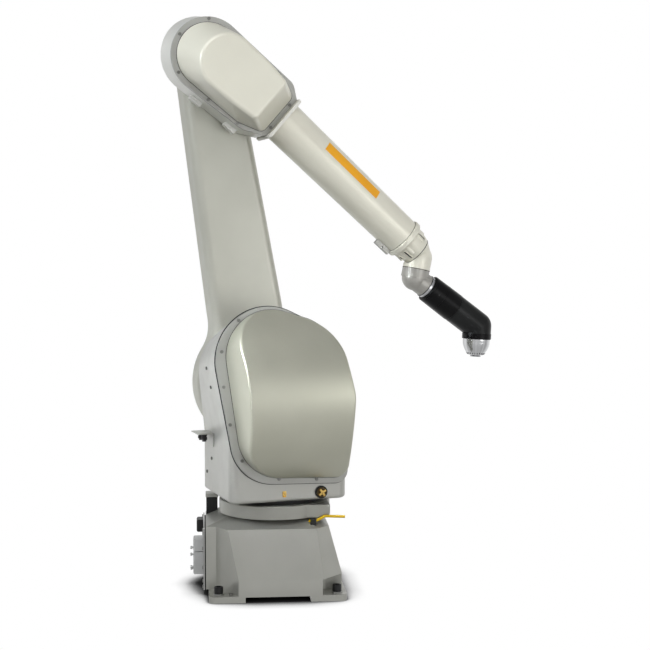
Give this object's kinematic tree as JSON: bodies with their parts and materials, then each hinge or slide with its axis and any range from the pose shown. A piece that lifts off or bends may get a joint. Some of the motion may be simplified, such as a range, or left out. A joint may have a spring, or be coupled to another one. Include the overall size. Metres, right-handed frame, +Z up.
{
  "type": "industrial robot arm",
  "caption": "Floor-mounted six-axis painting robot with domed drive covers, a tubular forearm, a hollow wrist and a bent rotary bell atomizer.",
  "frame": {"origin": "on the floor at the centre of the four base bolts, under the first axis", "axes": "+Z up along the first axis, +X the forward direction at zero turn of the first axis"},
  "size_m": [1.5747, 0.9273, 2.5762],
  "materials": {
    "base_paint": "satin grey paint",
    "shoulder_paint": "satin silver-grey paint",
    "cover_paint": "satin silver-grey paint",
    "forearm_paint": "satin ivory-grey paint",
    "machined_steel": "machined",
    "black_box": "matt black",
    "gasket_rubber": "matt",
    "connector_metal": "die-cast",
    "lever_paint": "yellow paint",
    "brass": "turned",
    "adapter_grey": "cast and machined",
    "tool_black": "satin black",
    "bright_aluminium": "turned"
  },
  "bodies": {
    "base": {"base_casting": "base_paint", "j1_ring": "base_paint", "connector_panel": "machined_steel", "panel_gasket": "gasket_rubber", "upper_connector": "connector_metal", "lower_connector": "connector_metal", "panel_box": "black_box", "limit_box": "black_box", "limit_box_lid": "base_paint", "stop_lever": "lever_paint", "lever_clamp": "black_box"},
    "shoulder": {"turntable": "machined_steel", "shoulder_housing": "shoulder_paint", "shoulder_flange": "shoulder_paint", "shoulder_cover": "cover_paint", "purge_seat": "machined_steel", "purge_fitting": "brass", "earth_terminal": "brass", "cable_bracket": "shoulder_paint", "bracket_connectors": "black_box", "j2_disc": "machined_steel"},
    "inner_arm_body": {"inner_arm": "cover_paint", "arm_lower_cap": "cover_paint", "arm_upper_cap": "cover_paint"},
    "forearm": {"j3_disc": "machined_steel", "elbow_casting": "forearm_paint", "elbow_flange": "forearm_paint", "elbow_cover": "forearm_paint", "elbow_tabs": "forearm_paint", "end_plate": "forearm_paint", "forearm_tube": "forearm_paint", "tube_lug": "forearm_paint", "wrist_collar": "forearm_paint", "wrist_base": "forearm_paint"},
    "wrist": {"wrist_elbow": "forearm_paint"},
    "hand": {"wrist_adapter": "adapter_grey"},
    "tool": {"tool_ring": "bright_aluminium", "atomizer_rear": "tool_black", "atomizer_front": "tool_black", "nose_ring": "tool_black", "air_cap": "bright_aluminium", "bell_cup": "bright_aluminium"}
  },
  "joints": [
    {"name": "j1_turn", "type": "hinge", "parent": "base", "child": "shoulder", "pos_m": [0, 0, 0.403], "axis": [0, 0, 1], "range_deg": [-174.5, 145.5]},
    {"name": "j2_shoulder", "type": "hinge", "parent": "shoulder", "child": "inner_arm_body", "pos_m": [-0.05333, 0.20622, 0.905], "axis": [-0.2504, 0.9681, 0], "range_deg": [-46, 84]},
    {"name": "j3_elbow", "type": "hinge", "parent": "inner_arm_body", "child": "forearm", "pos_m": [-0.28118, 0.14729, 2.36617], "axis": [0.2504, -0.9681, 0], "range_deg": [-14, 140]},
    {"name": "j4_wrist_roll", "type": "hinge", "parent": "forearm", "child": "wrist", "pos_m": [0.70505, 0.29079, 1.50297], "axis": [0.7251, 0.1875, -0.6626], "range_deg": [-540, 540]},
    {"name": "j5_wrist_bend", "type": "hinge", "parent": "wrist", "child": "hand", "pos_m": [0.69058, 0.28705, 1.42948], "axis": [-0.193, -0.0499, -0.9799], "range_deg": [-540, 540]},
    {"name": "j6_tool_roll", "type": "hinge", "parent": "hand", "child": "tool", "pos_m": [0.73607, 0.29881, 1.34884], "axis": [0.7882, 0.2038, -0.5807], "range_deg": [-540, 540]}
  ]
}
